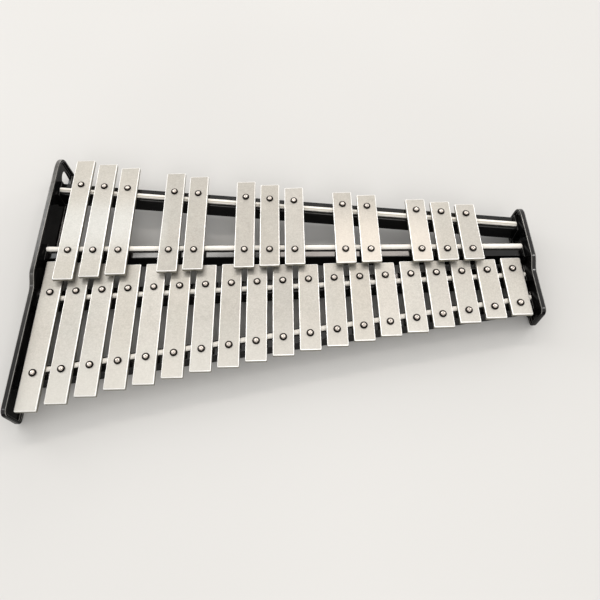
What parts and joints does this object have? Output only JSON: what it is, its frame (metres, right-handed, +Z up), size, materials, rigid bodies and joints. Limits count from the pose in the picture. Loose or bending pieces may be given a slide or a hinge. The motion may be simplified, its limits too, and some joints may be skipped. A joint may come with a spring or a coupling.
{
  "type": "glockenspiel",
  "caption": "Student bell kit: a row of natural and a raised row of accidental metal bars, lying on felt cords over converging black rails between two moulded end panels.",
  "frame": {"origin": "on the plane the feet stand on, under the middle of the object's box", "axes": "+X from the low bars to the high bars, +Y from the player to the back of the instrument, +Z up"},
  "size_m": [0.6184, 0.3664, 0.0516],
  "materials": {
    "bar_metal": "satin, fine grain along the bar",
    "rail_lacquer": "black gloss lacquer",
    "felt": "matt wool felt cord",
    "panel_plastic": "moulded, fine grain, satin gloss",
    "bolt_steel": "zinc plated",
    "foot_rubber": "matt"
  },
  "bodies": {
    "root": {"end_panel_left": "panel_plastic", "end_panel_right": "panel_plastic", "rail_natural_rear": "rail_lacquer", "rail_natural_front": "rail_lacquer", "rail_accidental_rear": "rail_lacquer", "rail_accidental_front": "rail_lacquer", "felt_cord_natural_rear": "felt", "felt_cord_natural_front": "felt", "felt_cord_accidental_rear": "felt", "felt_cord_accidental_front": "felt", "rail_bolt_natural_rear_left": "bolt_steel", "rail_bolt_natural_rear_right": "bolt_steel", "rail_bolt_natural_front_left": "bolt_steel", "rail_bolt_natural_front_right": "bolt_steel", "rail_bolt_accidental_rear_left": "bolt_steel", "rail_bolt_accidental_rear_right": "bolt_steel", "rail_bolt_accidental_front_left": "bolt_steel", "rail_bolt_accidental_front_right": "bolt_steel", "foot_front_left": "foot_rubber", "foot_rear_left": "foot_rubber", "foot_front_right": "foot_rubber", "foot_rear_right": "foot_rubber"},
    "bar_f5_body": {"bar_f5": "bar_metal"},
    "bar_g5_body": {"bar_g5": "bar_metal"},
    "bar_a5_body": {"bar_a5": "bar_metal"},
    "bar_b5_body": {"bar_b5": "bar_metal"},
    "bar_c6_body": {"bar_c6": "bar_metal"},
    "bar_d6_body": {"bar_d6": "bar_metal"},
    "bar_e6_body": {"bar_e6": "bar_metal"},
    "bar_f6_body": {"bar_f6": "bar_metal"},
    "bar_g6_body": {"bar_g6": "bar_metal"},
    "bar_a6_body": {"bar_a6": "bar_metal"},
    "bar_b6_body": {"bar_b6": "bar_metal"},
    "bar_c7_body": {"bar_c7": "bar_metal"},
    "bar_d7_body": {"bar_d7": "bar_metal"},
    "bar_e7_body": {"bar_e7": "bar_metal"},
    "bar_f7_body": {"bar_f7": "bar_metal"},
    "bar_g7_body": {"bar_g7": "bar_metal"},
    "bar_a7_body": {"bar_a7": "bar_metal"},
    "bar_b7_body": {"bar_b7": "bar_metal"},
    "bar_c8_body": {"bar_c8": "bar_metal"},
    "bar_f_sharp_5_body": {"bar_f_sharp_5": "bar_metal"},
    "bar_g_sharp_5_body": {"bar_g_sharp_5": "bar_metal"},
    "bar_a_sharp_5_body": {"bar_a_sharp_5": "bar_metal"},
    "bar_c_sharp_6_body": {"bar_c_sharp_6": "bar_metal"},
    "bar_d_sharp_6_body": {"bar_d_sharp_6": "bar_metal"},
    "bar_f_sharp_6_body": {"bar_f_sharp_6": "bar_metal"},
    "bar_g_sharp_6_body": {"bar_g_sharp_6": "bar_metal"},
    "bar_a_sharp_6_body": {"bar_a_sharp_6": "bar_metal"},
    "bar_c_sharp_7_body": {"bar_c_sharp_7": "bar_metal"},
    "bar_d_sharp_7_body": {"bar_d_sharp_7": "bar_metal"},
    "bar_f_sharp_7_body": {"bar_f_sharp_7": "bar_metal"},
    "bar_g_sharp_7_body": {"bar_g_sharp_7": "bar_metal"},
    "bar_a_sharp_7_body": {"bar_a_sharp_7": "bar_metal"}
  },
  "joints": [
    {"name": "lift_f5", "type": "slide", "parent": "root", "child": "bar_f5_body", "axis": [0, 0, 1], "range_m": [0, 0.0005]},
    {"name": "lift_g5", "type": "slide", "parent": "root", "child": "bar_g5_body", "axis": [0, 0, 1], "range_m": [0, 0.0005]},
    {"name": "lift_a5", "type": "slide", "parent": "root", "child": "bar_a5_body", "axis": [0, 0, 1], "range_m": [0, 0.0005]},
    {"name": "lift_b5", "type": "slide", "parent": "root", "child": "bar_b5_body", "axis": [0, 0, 1], "range_m": [0, 0.0005]},
    {"name": "lift_c6", "type": "slide", "parent": "root", "child": "bar_c6_body", "axis": [0, 0, 1], "range_m": [0, 0.0005]},
    {"name": "lift_d6", "type": "slide", "parent": "root", "child": "bar_d6_body", "axis": [0, 0, 1], "range_m": [0, 0.0005]},
    {"name": "lift_e6", "type": "slide", "parent": "root", "child": "bar_e6_body", "axis": [0, 0, 1], "range_m": [0, 0.0005]},
    {"name": "lift_f6", "type": "slide", "parent": "root", "child": "bar_f6_body", "axis": [0, 0, 1], "range_m": [0, 0.0005]},
    {"name": "lift_g6", "type": "slide", "parent": "root", "child": "bar_g6_body", "axis": [0, 0, 1], "range_m": [0, 0.0005]},
    {"name": "lift_a6", "type": "slide", "parent": "root", "child": "bar_a6_body", "axis": [0, 0, 1], "range_m": [0, 0.0005]},
    {"name": "lift_b6", "type": "slide", "parent": "root", "child": "bar_b6_body", "axis": [0, 0, 1], "range_m": [0, 0.0005]},
    {"name": "lift_c7", "type": "slide", "parent": "root", "child": "bar_c7_body", "axis": [0, 0, 1], "range_m": [0, 0.0005]},
    {"name": "lift_d7", "type": "slide", "parent": "root", "child": "bar_d7_body", "axis": [0, 0, 1], "range_m": [0, 0.0005]},
    {"name": "lift_e7", "type": "slide", "parent": "root", "child": "bar_e7_body", "axis": [0, 0, 1], "range_m": [0, 0.0005]},
    {"name": "lift_f7", "type": "slide", "parent": "root", "child": "bar_f7_body", "axis": [0, 0, 1], "range_m": [0, 0.0005]},
    {"name": "lift_g7", "type": "slide", "parent": "root", "child": "bar_g7_body", "axis": [0, 0, 1], "range_m": [0, 0.0005]},
    {"name": "lift_a7", "type": "slide", "parent": "root", "child": "bar_a7_body", "axis": [0, 0, 1], "range_m": [0, 0.0005]},
    {"name": "lift_b7", "type": "slide", "parent": "root", "child": "bar_b7_body", "axis": [0, 0, 1], "range_m": [0, 0.0005]},
    {"name": "lift_c8", "type": "slide", "parent": "root", "child": "bar_c8_body", "axis": [0, 0, 1], "range_m": [0, 0.0005]},
    {"name": "lift_f_sharp_5", "type": "slide", "parent": "root", "child": "bar_f_sharp_5_body", "axis": [0, 0, 1], "range_m": [0, 0.0005]},
    {"name": "lift_g_sharp_5", "type": "slide", "parent": "root", "child": "bar_g_sharp_5_body", "axis": [0, 0, 1], "range_m": [0, 0.0005]},
    {"name": "lift_a_sharp_5", "type": "slide", "parent": "root", "child": "bar_a_sharp_5_body", "axis": [0, 0, 1], "range_m": [0, 0.0005]},
    {"name": "lift_c_sharp_6", "type": "slide", "parent": "root", "child": "bar_c_sharp_6_body", "axis": [0, 0, 1], "range_m": [0, 0.0005]},
    {"name": "lift_d_sharp_6", "type": "slide", "parent": "root", "child": "bar_d_sharp_6_body", "axis": [0, 0, 1], "range_m": [0, 0.0005]},
    {"name": "lift_f_sharp_6", "type": "slide", "parent": "root", "child": "bar_f_sharp_6_body", "axis": [0, 0, 1], "range_m": [0, 0.0005]},
    {"name": "lift_g_sharp_6", "type": "slide", "parent": "root", "child": "bar_g_sharp_6_body", "axis": [0, 0, 1], "range_m": [0, 0.0005]},
    {"name": "lift_a_sharp_6", "type": "slide", "parent": "root", "child": "bar_a_sharp_6_body", "axis": [0, 0, 1], "range_m": [0, 0.0005]},
    {"name": "lift_c_sharp_7", "type": "slide", "parent": "root", "child": "bar_c_sharp_7_body", "axis": [0, 0, 1], "range_m": [0, 0.0005]},
    {"name": "lift_d_sharp_7", "type": "slide", "parent": "root", "child": "bar_d_sharp_7_body", "axis": [0, 0, 1], "range_m": [0, 0.0005]},
    {"name": "lift_f_sharp_7", "type": "slide", "parent": "root", "child": "bar_f_sharp_7_body", "axis": [0, 0, 1], "range_m": [0, 0.0005]},
    {"name": "lift_g_sharp_7", "type": "slide", "parent": "root", "child": "bar_g_sharp_7_body", "axis": [0, 0, 1], "range_m": [0, 0.0005]},
    {"name": "lift_a_sharp_7", "type": "slide", "parent": "root", "child": "bar_a_sharp_7_body", "axis": [0, 0, 1], "range_m": [0, 0.0005]}
  ]
}
